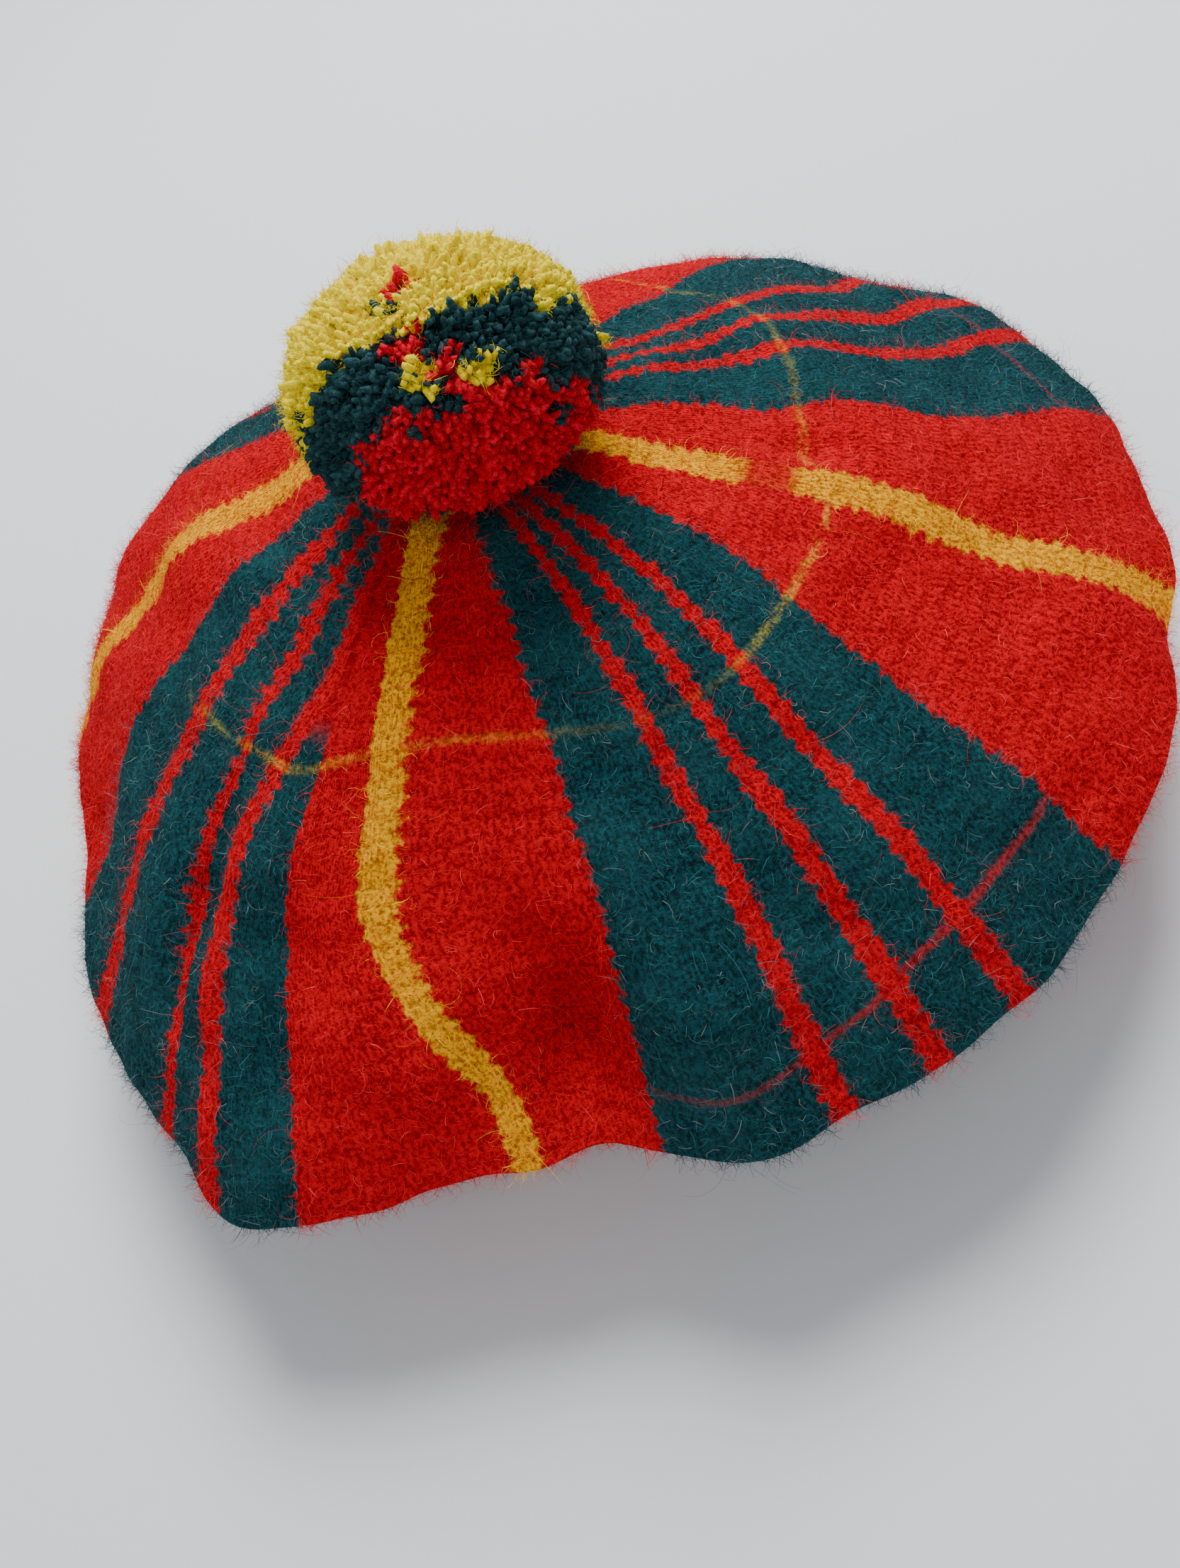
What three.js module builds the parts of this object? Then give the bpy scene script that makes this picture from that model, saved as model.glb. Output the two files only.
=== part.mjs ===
// Tam o' shanter: a knitted, fulled wool tam with a wide soft crown, a knitted headband and a yarn pompom.
// Millimetres, +Z up. The hat rests on the floor, z = 0, on the lower edge of its headband.
// The head opening is centred on the origin, and azimuths are degrees anticlockwise from +X seen from above.
import * as THREE from "three";

// Driving dimensions
const WALL = 3.0;
const CROWN_TOP = 108;
const DOME_POWER = 1.9;
const GAP = 0.3;
const BAND_HEIGHT = 28;
const BAND_INNER_R = 84.5;
const BAND_THICK = 4.5;
const BAND_FLARE = 1.5;
const BAND_BELLY = 0.3;
const FOLD_SKEW = 1.3;
const EDGE_INNER_R = 86;
const POMPOM_R = 31;
const POMPOM_HEIGHT = 42.5;
const POMPOM_X = 3.5;
const POMPOM_Y = -13;
const POMPOM_LIFT = 2;
const POMPOM_LEAN = -6;

// Colours of the wool
const RED = 0xb81c1c;
const TEAL = 0x15484c;
const YELLOW = 0xd8b820;

// Grid steps
const CROWN_SIDES = 84;
const TOP_STEPS = 15;
const UNDER_STEPS = 7;
const BAND_SIDES = 84;
const POMPOM_SIDES = 36;
const POMPOM_STEPS = 14;

// The rim of the crown, where it turns under: lobes and hollows around the hat, and how high they stand.
const RIM_ROWS = [
  { azimuth: 0, radius: 149, height: 43 },
  { azimuth: 25, radius: 151, height: 45 },
  { azimuth: 50, radius: 142, height: 45 },
  { azimuth: 80, radius: 129, height: 38 },
  { azimuth: 110, radius: 136, height: 38 },
  { azimuth: 135, radius: 137, height: 36 },
  { azimuth: 160, radius: 127, height: 34 },
  { azimuth: 180, radius: 122, height: 34 },
  { azimuth: 200, radius: 128, height: 34 },
  { azimuth: 222, radius: 138, height: 37 },
  { azimuth: 232, radius: 148, height: 37 },
  { azimuth: 247, radius: 135, height: 39 },
  { azimuth: 257, radius: 133, height: 40 },
  { azimuth: 272, radius: 139, height: 41 },
  { azimuth: 300, radius: 145, height: 42 },
  { azimuth: 330, radius: 145, height: 42 },
];

// Folds of the crown: a long bump or dent that runs outward along one azimuth.
// from and to are shares of the way from the centre to the rim, lift is out of the cloth in mm.
const FOLDS = [
  { azimuth: 262, halfWidth: 5.5, from: 0.62, to: 1.1, lift: -12 },
  { azimuth: 273, halfWidth: 6, from: 0.5, to: 1.08, lift: 6 },
  { azimuth: 247, halfWidth: 7, from: 0.55, to: 1.05, lift: 3 },
  { azimuth: 234, halfWidth: 4, from: 0.5, to: 1.0, lift: -4 },
  { azimuth: 212, halfWidth: 8, from: 0.5, to: 1.1, lift: 2.5 },
  { azimuth: 186, halfWidth: 8, from: 0.6, to: 1.1, lift: -3 },
  { azimuth: 318, halfWidth: 14, from: 0.35, to: 0.95, lift: -2.5 },
  { azimuth: 12, halfWidth: 12, from: 0.4, to: 1.0, lift: -3 },
  { azimuth: 68, halfWidth: 10, from: 0.4, to: 1.05, lift: -5 },
  { azimuth: 100, halfWidth: 9, from: 0.5, to: 1.1, lift: -4 },
  { azimuth: 140, halfWidth: 10, from: 0.4, to: 1.05, lift: 3 },
];

// The pompom's outline from its base up: height and radius as shares of its full size.
const POMPOM_ROWS = [
  { up: 0.0, out: 0.5 },
  { up: 0.1, out: 0.82 },
  { up: 0.25, out: 0.97 },
  { up: 0.45, out: 1.0 },
  { up: 0.65, out: 0.95 },
  { up: 0.82, out: 0.78 },
  { up: 0.94, out: 0.5 },
  { up: 1.0, out: 0.0 },
];

// The pompom is not quite round: its radius as a share, by azimuth.
const POMPOM_SIDE_ROWS = [
  { azimuth: 0, share: 1.05 },
  { azimuth: 60, share: 0.99 },
  { azimuth: 130, share: 1.0 },
  { azimuth: 190, share: 1.02 },
  { azimuth: 240, share: 0.99 },
  { azimuth: 300, share: 1.04 },
];

const rad = (deg) => (deg * Math.PI) / 180;

// A column of a table of rows read at any azimuth, on a smooth closed curve through the rows.
function around(rows, column, deg) {
  const turn = ((deg % 360) + 360) % 360;
  const n = rows.length;
  let i = rows.findLastIndex((row) => row.azimuth <= turn);
  if (i < 0) i = n - 1;
  const [a, b, c, d] = [-1, 0, 1, 2].map((k) => rows[(i + k + n) % n]);
  const step = (from, to) => (((to.azimuth - from.azimuth) % 360) + 360) % 360;
  const span = step(b, c);
  const f = step(b, { azimuth: turn }) / span;
  const m0 = ((c[column] - a[column]) * span) / (step(a, b) + span);
  const m1 = ((d[column] - b[column]) * span) / (span + step(c, d));
  const f2 = f * f;
  const f3 = f2 * f;
  const start = (2 * f3 - 3 * f2 + 1) * b[column] + (f3 - 2 * f2 + f) * m0;
  const end = (3 * f2 - 2 * f3) * c[column] + (f3 - f2) * m1;
  return start + end;
}

// Lift of the cloth by all folds at one azimuth and share of the way out.
function foldLift(deg, share) {
  let lift = 0;
  for (const fold of FOLDS) {
    const turn = ((deg - fold.azimuth + 540) % 360) - 180;
    const across = Math.exp(-Math.pow(turn / fold.halfWidth, 2));
    const along = (share - fold.from) / (fold.to - fold.from);
    const swell = along > 0 && along < 1 ? Math.pow(Math.sin(Math.PI * Math.pow(along, FOLD_SKEW)), 2) : 0;
    lift += fold.lift * across * swell;
  }
  return lift;
}

// One point of the crown's top: turn runs from 0 at the centre to 90 degrees at the rim.
function topPoint(deg, turn, inset) {
  const share = Math.sin(rad(turn));
  const rim = around(RIM_ROWS, "radius", deg) - inset;
  const level = around(RIM_ROWS, "height", deg);
  const lift = foldLift(deg, share);
  const r = (rim + lift) * share;
  const rise = Math.pow(Math.max(Math.cos(rad(turn)), 0), DOME_POWER);
  const z = level + (CROWN_TOP - inset - level) * rise + lift * Math.cos(rad(turn));
  return new THREE.Vector3(r * Math.cos(rad(deg)), r * Math.sin(rad(deg)), z);
}

// One point of the crown's underside: turn runs from 0 at the rim to 90 degrees at the headband.
function underPoint(deg, turn, inset) {
  const rim = around(RIM_ROWS, "radius", deg) - inset + foldLift(deg, 1);
  const level = around(RIM_ROWS, "height", deg);
  const edge = BAND_HEIGHT + GAP + inset;
  const r = EDGE_INNER_R + (rim - EDGE_INNER_R) * Math.cos(rad(turn));
  const z = level - (level - edge) * Math.sin(rad(turn));
  return new THREE.Vector3(r * Math.cos(rad(deg)), r * Math.sin(rad(deg)), z);
}

// A closed body from rings of points that run from a first pole to a last pole.
function ringBody(first, rings, last) {
  const sides = rings[0].length;
  const points = [first, ...rings.flat(), last];
  const faces = [];
  const at = (ring, side) => 1 + ring * sides + (side % sides);
  for (let s = 0; s < sides; s++) faces.push(0, at(0, s), at(0, s + 1));
  for (let k = 0; k + 1 < rings.length; k++) {
    for (let s = 0; s < sides; s++) {
      faces.push(at(k, s), at(k + 1, s), at(k + 1, s + 1));
      faces.push(at(k, s), at(k + 1, s + 1), at(k, s + 1));
    }
  }
  const end = points.length - 1;
  const lastRing = rings.length - 1;
  for (let s = 0; s < sides; s++) faces.push(end, at(lastRing, s + 1), at(lastRing, s));
  const geometry = new THREE.BufferGeometry().setFromPoints(points);
  geometry.setIndex(faces);
  geometry.computeVertexNormals();
  return geometry;
}

const ringOf = (sides, point) => Array.from({ length: sides }, (_, s) => point((360 * s) / sides));

// The crown: outer top, rim, outer underside, then back along the inner faces to the inner centre.
function crownGeometry() {
  const rings = [];
  for (let k = 1; k <= TOP_STEPS; k++) {
    rings.push(ringOf(CROWN_SIDES, (deg) => topPoint(deg, (90 * k) / TOP_STEPS, 0)));
  }
  for (let k = 1; k <= UNDER_STEPS; k++) {
    rings.push(ringOf(CROWN_SIDES, (deg) => underPoint(deg, (90 * k) / UNDER_STEPS, 0)));
  }
  for (let k = UNDER_STEPS; k >= 1; k--) {
    rings.push(ringOf(CROWN_SIDES, (deg) => underPoint(deg, (90 * k) / UNDER_STEPS, WALL)));
  }
  for (let k = TOP_STEPS; k >= 1; k--) {
    rings.push(ringOf(CROWN_SIDES, (deg) => topPoint(deg, (90 * k) / TOP_STEPS, WALL)));
  }
  const outerTop = new THREE.Vector3(0, 0, CROWN_TOP);
  const innerTop = new THREE.Vector3(0, 0, CROWN_TOP - WALL);
  return ringBody(outerTop, rings, innerTop);
}

// The headband: a closed knitted ring, a little wider at its top, with a flat lower edge.
function headbandGeometry() {
  const outer = BAND_INNER_R + BAND_THICK;
  const profile = [
    [BAND_INNER_R, 0],
    [outer, 0],
    [outer + BAND_FLARE * BAND_BELLY, BAND_HEIGHT * 0.5],
    [outer + BAND_FLARE, BAND_HEIGHT],
    [BAND_INNER_R + BAND_FLARE, BAND_HEIGHT],
    [BAND_INNER_R + BAND_FLARE * BAND_BELLY, BAND_HEIGHT * 0.5],
    [BAND_INNER_R, 0],
  ].map(([r, z]) => new THREE.Vector2(r, z));
  return new THREE.LatheGeometry(profile, BAND_SIDES).rotateX(Math.PI / 2);
}

// A share of the pompom's radius at a share of its height, through its outline rows.
function pompomOut(up) {
  const rows = POMPOM_ROWS;
  const i = Math.min(rows.findIndex((r) => r.up >= up - 1e-9), rows.length - 1);
  if (i <= 0) return rows[0].out;
  const f = (up - rows[i - 1].up) / (rows[i].up - rows[i - 1].up);
  return rows[i - 1].out + (rows[i].out - rows[i - 1].out) * f;
}

// The pompom: the outer form of its cut yarn, with its flat base at the origin.
function pompomGeometry() {
  const rings = [];
  for (let k = 0; k < POMPOM_STEPS; k++) {
    const up = (1 - Math.cos((Math.PI * k) / POMPOM_STEPS)) / 2;
    rings.unshift(
      ringOf(POMPOM_SIDES, (deg) => {
        const r = POMPOM_R * pompomOut(up) * around(POMPOM_SIDE_ROWS, "share", deg);
        return new THREE.Vector3(r * Math.cos(rad(deg)), r * Math.sin(rad(deg)), POMPOM_HEIGHT * up);
      }),
    );
  }
  return ringBody(new THREE.Vector3(0, 0, POMPOM_HEIGHT), rings, new THREE.Vector3(0, 0, 0));
}

function piece(name, geometry, color) {
  const mesh = new THREE.Mesh(geometry, new THREE.MeshStandardMaterial({ color, roughness: 0.95 }));
  mesh.name = name;
  return mesh;
}

const hat = new THREE.Group();
hat.name = "tam_o_shanter";
hat.add(piece("crown", crownGeometry(), RED));
hat.add(piece("headband", headbandGeometry(), TEAL));

// The pompom stands just in front of the middle of the crown, on its ties, and leans a little back.
const pompom = piece("pompom", pompomGeometry(), YELLOW);
pompom.position.set(POMPOM_X, POMPOM_Y, CROWN_TOP + POMPOM_LIFT);
pompom.rotation.x = rad(POMPOM_LEAN);
hat.add(pompom);

export default hat;
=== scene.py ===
# %% [markdown]
# # A knitted tam o' shanter
#
# The hat is one knitted bag: it starts at the head opening, widens to a rim, turns, and closes in
# the middle of its top. It was then fulled, which is washing wool until the stitches mat together,
# and brushed, so a fine halo of loose fibres stands on it. Coloured stripes run out from the middle
# like the spokes of a wheel, and a pompom of cut yarn sits on top.
#
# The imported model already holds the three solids. This lesson makes a fine knitted surface, its
# halo of fibres, a ribbed headband and a pompom of real yarn ends in the same places.

import math

import bmesh
import bpy
import numpy as np
from mathutils import Matrix, Vector


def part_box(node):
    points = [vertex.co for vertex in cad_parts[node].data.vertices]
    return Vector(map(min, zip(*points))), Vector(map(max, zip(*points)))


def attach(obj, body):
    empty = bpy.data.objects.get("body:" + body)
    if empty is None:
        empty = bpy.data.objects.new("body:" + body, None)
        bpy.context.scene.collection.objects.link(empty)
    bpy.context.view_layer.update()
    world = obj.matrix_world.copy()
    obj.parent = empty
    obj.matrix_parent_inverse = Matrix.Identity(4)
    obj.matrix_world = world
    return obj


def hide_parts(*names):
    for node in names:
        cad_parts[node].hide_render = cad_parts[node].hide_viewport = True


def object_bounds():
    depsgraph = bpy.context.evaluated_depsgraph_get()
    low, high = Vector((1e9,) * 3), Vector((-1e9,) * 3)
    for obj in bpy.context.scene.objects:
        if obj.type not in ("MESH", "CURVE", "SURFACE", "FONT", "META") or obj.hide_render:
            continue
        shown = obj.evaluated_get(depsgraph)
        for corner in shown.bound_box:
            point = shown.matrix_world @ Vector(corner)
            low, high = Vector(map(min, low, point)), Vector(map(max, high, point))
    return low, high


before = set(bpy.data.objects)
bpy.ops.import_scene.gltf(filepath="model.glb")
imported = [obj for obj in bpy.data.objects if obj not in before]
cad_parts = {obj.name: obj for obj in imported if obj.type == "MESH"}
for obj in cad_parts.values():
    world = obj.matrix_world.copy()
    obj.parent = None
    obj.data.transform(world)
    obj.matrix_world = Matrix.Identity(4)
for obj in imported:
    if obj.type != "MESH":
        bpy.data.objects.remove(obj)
CAD_LOW, CAD_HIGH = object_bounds()
MM = 0.001
print("frame box in mm:", [round(x / MM, 1) for x in (*CAD_LOW, *CAD_HIGH)])

# %% [markdown]
# ## Main sizes
#
# The heights come from the frame, so the new pieces meet the solids they stand for. The rest are
# sizes of the cloth itself: how thick it is, how tall one row of knitting is, how wide one stitch.

# %% Main sizes
CROWN_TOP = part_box("crown")[1].z
BAND_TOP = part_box("headband")[1].z
BAND_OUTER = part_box("headband")[1].x
BAND_THICK = 4.5 * MM
BAND_FLARE = 1.5 * MM
BAND_INNER = BAND_OUTER - BAND_THICK - BAND_FLARE
WALL = 3.0 * MM
EDGE_INNER = 86 * MM
DOME_POWER = 1.9
ROW = 4.0 * MM
print("crown top", round(CROWN_TOP / MM, 1), "mm, headband", round(BAND_TOP / MM, 1), "mm deep")

# %% [markdown]
# ## The rim and the folds
#
# A worn tam is never a perfect disc. Its rim has lobes and hollows, and a few folds run outward.
# One row of the first table says how far out and how high the rim is at one azimuth. One row of
# the second is a long bump or dent along one azimuth, from and to shares of the way to the rim. The
# third has the same columns for narrow creases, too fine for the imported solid.
# Azimuths are in degrees, anticlockwise from the hat's right side seen from above.

# %% Rim and fold tables
RIM_ROWS = [
    {"azimuth": 0, "radius": 149, "height": 43},
    {"azimuth": 25, "radius": 151, "height": 45},
    {"azimuth": 50, "radius": 142, "height": 45},
    {"azimuth": 80, "radius": 129, "height": 38},
    {"azimuth": 110, "radius": 136, "height": 38},
    {"azimuth": 135, "radius": 137, "height": 36},
    {"azimuth": 160, "radius": 127, "height": 34},
    {"azimuth": 180, "radius": 122, "height": 34},
    {"azimuth": 200, "radius": 128, "height": 34},
    {"azimuth": 222, "radius": 138, "height": 37},
    {"azimuth": 232, "radius": 148, "height": 37},
    {"azimuth": 247, "radius": 135, "height": 39},
    {"azimuth": 257, "radius": 133, "height": 40},
    {"azimuth": 272, "radius": 139, "height": 41},
    {"azimuth": 300, "radius": 145, "height": 42},
    {"azimuth": 330, "radius": 145, "height": 42},
]

FOLDS = [
    {"azimuth": 262, "half_width": 5.5, "from": 0.62, "to": 1.1, "lift": -12},
    {"azimuth": 273, "half_width": 6, "from": 0.5, "to": 1.08, "lift": 6},
    {"azimuth": 247, "half_width": 7, "from": 0.55, "to": 1.05, "lift": 3},
    {"azimuth": 234, "half_width": 4, "from": 0.5, "to": 1.0, "lift": -4},
    {"azimuth": 212, "half_width": 8, "from": 0.5, "to": 1.1, "lift": 2.5},
    {"azimuth": 186, "half_width": 8, "from": 0.6, "to": 1.1, "lift": -3},
    {"azimuth": 318, "half_width": 14, "from": 0.35, "to": 0.95, "lift": -2.5},
    {"azimuth": 12, "half_width": 12, "from": 0.4, "to": 1.0, "lift": -3},
    {"azimuth": 68, "half_width": 10, "from": 0.4, "to": 1.05, "lift": -5},
    {"azimuth": 100, "half_width": 9, "from": 0.5, "to": 1.1, "lift": -4},
    {"azimuth": 140, "half_width": 10, "from": 0.4, "to": 1.05, "lift": 3},
]

CREASES = [
    {"azimuth": 264.5, "half_width": 2.6, "from": 0.70, "to": 1.00, "lift": -5},
    {"azimuth": 252, "half_width": 3.0, "from": 0.80, "to": 1.04, "lift": -2.5},
    {"azimuth": 219, "half_width": 2.4, "from": 0.46, "to": 0.96, "lift": -4},
    {"azimuth": 224, "half_width": 2.2, "from": 0.50, "to": 0.90, "lift": 2},
    {"azimuth": 340, "half_width": 3.0, "from": 0.34, "to": 0.60, "lift": -2},
]


def around(rows, column, azimuth):
    """A column of rows read at any azimuths, on a smooth closed curve through them.
    Between two rows it is the cubic whose slopes there are those of the chords either side."""
    turn = np.mod(azimuth, 360.0)
    at = np.array([row["azimuth"] for row in rows], float)
    value = np.array([row[column] for row in rows], float)
    at = np.concatenate([at[-2:] - 360, at, at[:2] + 360])
    value = np.concatenate([value[-2:], value, value[:2]])
    slope = np.zeros(len(at))
    slope[1:-1] = (value[2:] - value[:-2]) / (at[2:] - at[:-2])
    i = np.searchsorted(at, turn, side="right") - 1
    span = at[i + 1] - at[i]
    f = (turn - at[i]) / span
    start = (2 * f**3 - 3 * f**2 + 1) * value[i] + (f**3 - 2 * f**2 + f) * slope[i] * span
    end = (3 * f**2 - 2 * f**3) * value[i + 1] + (f**3 - f**2) * slope[i + 1] * span
    return start + end


def fold_lift(azimuth, share):
    """Lift of the cloth by every fold: lift * exp(-(turn / half width)^2) * sin^2(pi * along^1.3)."""
    lift = np.zeros(np.broadcast(azimuth, share).shape)
    for fold in FOLDS + CREASES:
        turn = np.mod(azimuth - fold["azimuth"] + 540, 360) - 180
        along = np.clip((share - fold["from"]) / (fold["to"] - fold["from"]), 0, 1)
        across = np.exp(-((turn / fold["half_width"]) ** 2))
        lift = lift + fold["lift"] * across * np.sin(math.pi * along**1.3) ** 2
    return lift * MM


print("rim", len(RIM_ROWS), "rows, folds", len(FOLDS), "and creases", len(CREASES))

# %% [markdown]
# ## The crown as a function
#
# Every point of the crown has an azimuth and a turn. From 0 to 90 degrees the turn runs over the
# top, from the middle to the rim, and from 90 to 180 over the underside, in to the headband. The
# same function serves the cloth and the roots of its fibres, so the halo always sits on the cloth.
# Small puckers, which are a few slow waves added together, keep it from looking like plastic.

# %% Crown surface
def unit(vectors):
    """The same directions with a length of one."""
    return vectors / np.linalg.norm(vectors, axis=-1, keepdims=True)


def slow_waves(points, length, count, seed):
    """A smooth random field from -1 to 1: the mean of count sine waves of about the given length,
    each with its own direction and phase."""
    rng = np.random.default_rng(seed)
    directions = unit(rng.normal(size=(count, 3)))
    pitch = length * rng.uniform(0.7, 1.5, count)
    phase = rng.uniform(0, 2 * math.pi, count)
    total = np.zeros(points.shape[:-1])
    for direction, one_pitch, one_phase in zip(directions, pitch, phase):
        total += np.sin(points @ direction * (2 * math.pi / one_pitch) + one_phase)
    return total / math.sqrt(count)


PUCKERS = [
    {"height": 0.9, "length": 34, "waves": 9, "seed": 3},
    {"height": 0.35, "length": 12, "waves": 12, "seed": 4},
]


def puckers(points):
    """The slow waves of every row of the table, added together, in mm."""
    return sum(r["height"] * slow_waves(points, r["length"] * MM, r["waves"], r["seed"]) for r in PUCKERS)


def rim_share(turn):
    """The share of the way out to the rim: sin(turn) over the top, and 1 underneath."""
    return np.sin(np.radians(np.minimum(turn, 90)))


def crown_point(azimuth, turn, inset=0.0):
    """Top: r = rim * sin(turn), z = rim height + rise * cos(turn)^power.
    Underside: r and z run on a quarter of an ellipse from the rim in to the headband.
    Folds and puckers then move the point out of the cloth."""
    a, t = np.broadcast_arrays(np.asarray(azimuth, float), np.asarray(turn, float))
    angle, tilt = np.radians(a), np.radians(t)
    rim = around(RIM_ROWS, "radius", a) * MM - inset
    level = around(RIM_ROWS, "height", a) * MM
    on_top = t <= 90
    share = np.where(on_top, np.sin(tilt), 1.0)
    lift = fold_lift(a, share)
    rise = np.clip(np.cos(tilt), 0, 1) ** DOME_POWER
    top_r = (rim + lift) * np.sin(tilt)
    top_z = level + (CROWN_TOP - inset - level) * rise + lift * np.cos(tilt)
    edge = BAND_TOP + inset
    under_r = EDGE_INNER + (rim + lift - EDGE_INNER) * np.clip(np.sin(tilt), 0, 1)
    under_z = level - (level - edge) * np.clip(-np.cos(tilt), 0, 1)
    r = np.where(on_top, top_r, under_r)
    z = np.where(on_top, top_z, under_z)
    points = np.stack([r * np.cos(angle), r * np.sin(angle), z], -1)
    fade = np.clip((180 - t) / 25, 0, 1) * np.clip(t / 12, 0, 1)
    outward = np.stack([np.sin(tilt) * np.cos(angle), np.sin(tilt) * np.sin(angle), np.cos(tilt)], -1)
    return points + outward * (puckers(points) * fade * MM)[..., None]


def crown_normal(azimuth, turn):
    """The outward direction: the cross product of two short steps along the surface."""
    step = 0.2
    low = np.clip(turn - step, 0.05, 180)
    high = np.clip(turn + step, 0.05, 180)
    out = crown_point(azimuth, high) - crown_point(azimuth, low)
    side = crown_point(azimuth + step, turn) - crown_point(azimuth - step, turn)
    normal = np.cross(out, side)
    return normal / (np.linalg.norm(normal, axis=-1, keepdims=True) + 1e-12)


print("rim point at the front:", (crown_point(270.0, 90.0) / MM).round(1), "mm")

# %% [markdown]
# ## Where each stripe runs
#
# The knitting repeats four times round the hat. One repeat is a red gore with a yellow stripe down
# its middle, then a green group with three thin red stripes. The cloth has been pulled about, so
# the stripes are not evenly spaced and not quite straight. A row of this table is one line of the
# knitting, and its azimuth near the middle, half way out and at the rim. The place in the repeats
# is whole at a yellow stripe, 0.22 further at the edge of its gore, and 0.78 at the next gore. The
# first group is pinched by a fold, so its three thin stripes have rows of their own: one row is a
# stripe's middle, and two rows are its two sides.

# %% Stripe lines
REPEATS = 4
STRIPE_LINES = [
    {"place": 0.00, "inner": 158, "middle": 159, "rim": 163},
    {"place": 0.22, "inner": 181, "middle": 184, "rim": 190},
    {"place": 0.398, "inner": 202, "middle": 203, "rim": 204.5},
    {"place": 0.485, "inner": 217, "middle": 216.3, "rim": 221},
    {"place": 0.515, "inner": 220, "middle": 217.4, "rim": 222.5},
    {"place": 0.582, "inner": 230, "middle": 220.8, "rim": 226.5},
    {"place": 0.622, "inner": 233.5, "middle": 225.6, "rim": 230.5},
    {"place": 0.78, "inner": 235, "middle": 232.8, "rim": 237},
    {"place": 1.00, "inner": 244, "middle": 243, "rim": 256},
    {"place": 1.22, "inner": 270, "middle": 269, "rim": 267},
    {"place": 1.78, "inner": 313, "middle": 310, "rim": 310},
    {"place": 2.00, "inner": 331, "middle": 333, "rim": 337},
    {"place": 2.22, "inner": 349, "middle": 352, "rim": 361},
    {"place": 2.78, "inner": 396, "middle": 400, "rim": 404},
    {"place": 3.00, "inner": 418, "middle": 422, "rim": 426},
    {"place": 3.22, "inner": 441, "middle": 445, "rim": 449},
    {"place": 3.78, "inner": 495, "middle": 496, "rim": 499},
]


def smooth_step(value, low, high):
    """0 below low, 1 above high, 3 f^2 - 2 f^3 between."""
    f = np.clip((value - low) / (high - low), 0, 1)
    return f * f * (3 - 2 * f)


def stripe_place(azimuth, share):
    """The place in the four repeats, 0 to 4, at azimuths and shares of the way to the rim.
    Each line's azimuth is mixed for the share, and the place climbs evenly from line to line."""
    azimuth, share = np.broadcast_arrays(np.asarray(azimuth, float), np.asarray(share, float))
    to_middle = smooth_step(share, 0.35, 0.65)
    to_rim = smooth_step(share, 0.65, 1.0)
    places, lines = [], []
    for turn in (-1, 0, 1):
        for row in STRIPE_LINES:
            line = row["inner"] + (row["middle"] - row["inner"]) * to_middle
            line = line + (row["rim"] - row["middle"]) * to_rim
            lines.append(line + 360 * turn)
            places.append(row["place"] + REPEATS * turn)
    place = np.full(azimuth.shape, places[0])
    for k in range(len(lines) - 1):
        climb = np.clip((azimuth - lines[k]) / (lines[k + 1] - lines[k]), 0, 1)
        place = place + climb * (places[k + 1] - places[k])
    return place


print("front stripe at half way:", round(float(stripe_place(243.0, 0.65)), 3))

# %% [markdown]
# ## Two thin rings
#
# One row of yellow circles the crown about half way out, and one row of red near its rim. The
# cloth is stretched here and there, so the rings wander by a few millimetres, and where the brushing
# has pulled fibres over them they are faint. Inner and outer are shares of the way to the rim, gold
# and red say how strongly each ring shows there. In two places red fibres cover a colour altogether.

# %% Ring lines
RING_ROWS = [
    {"azimuth": 0, "inner": 0.490, "gold": 0.5, "outer": 0.900, "red": 0.2},
    {"azimuth": 40, "inner": 0.520, "gold": 0.6, "outer": 0.905, "red": 0.4},
    {"azimuth": 100, "inner": 0.540, "gold": 0.8, "outer": 0.900, "red": 0.6},
    {"azimuth": 160, "inner": 0.570, "gold": 0.2, "outer": 0.905, "red": 0.4},
    {"azimuth": 190, "inner": 0.585, "gold": 0.0, "outer": 0.910, "red": 0.0},
    {"azimuth": 206, "inner": 0.555, "gold": 0.7, "outer": 0.910, "red": 0.0},
    {"azimuth": 222, "inner": 0.535, "gold": 0.9, "outer": 0.905, "red": 0.0},
    {"azimuth": 235, "inner": 0.503, "gold": 0.9, "outer": 0.905, "red": 0.0},
    {"azimuth": 250, "inner": 0.510, "gold": 0.65, "outer": 0.915, "red": 0.0},
    {"azimuth": 268, "inner": 0.518, "gold": 0.35, "outer": 0.935, "red": 0.2},
    {"azimuth": 282, "inner": 0.545, "gold": 0.12, "outer": 0.935, "red": 0.6},
    {"azimuth": 292, "inner": 0.552, "gold": 0.2, "outer": 0.905, "red": 0.9},
    {"azimuth": 302, "inner": 0.545, "gold": 0.9, "outer": 0.898, "red": 0.8},
    {"azimuth": 314, "inner": 0.538, "gold": 1.0, "outer": 0.895, "red": 0.4},
    {"azimuth": 328, "inner": 0.535, "gold": 1.0, "outer": 0.895, "red": 0.1},
    {"azimuth": 340, "inner": 0.495, "gold": 0.8, "outer": 0.900, "red": 0.0},
]
MM_PER_DEGREE = 1.75
GOLD_COVER = {"azimuth": 333, "spread": 9, "strength": 0.97, "from": (0.41, 0.43), "to": (0.475, 0.495)}
GREEN_COVER = {"from": (0.575, 0.59), "to": (0.80, 0.82), "end": (0.44, 0.48)}


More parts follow.
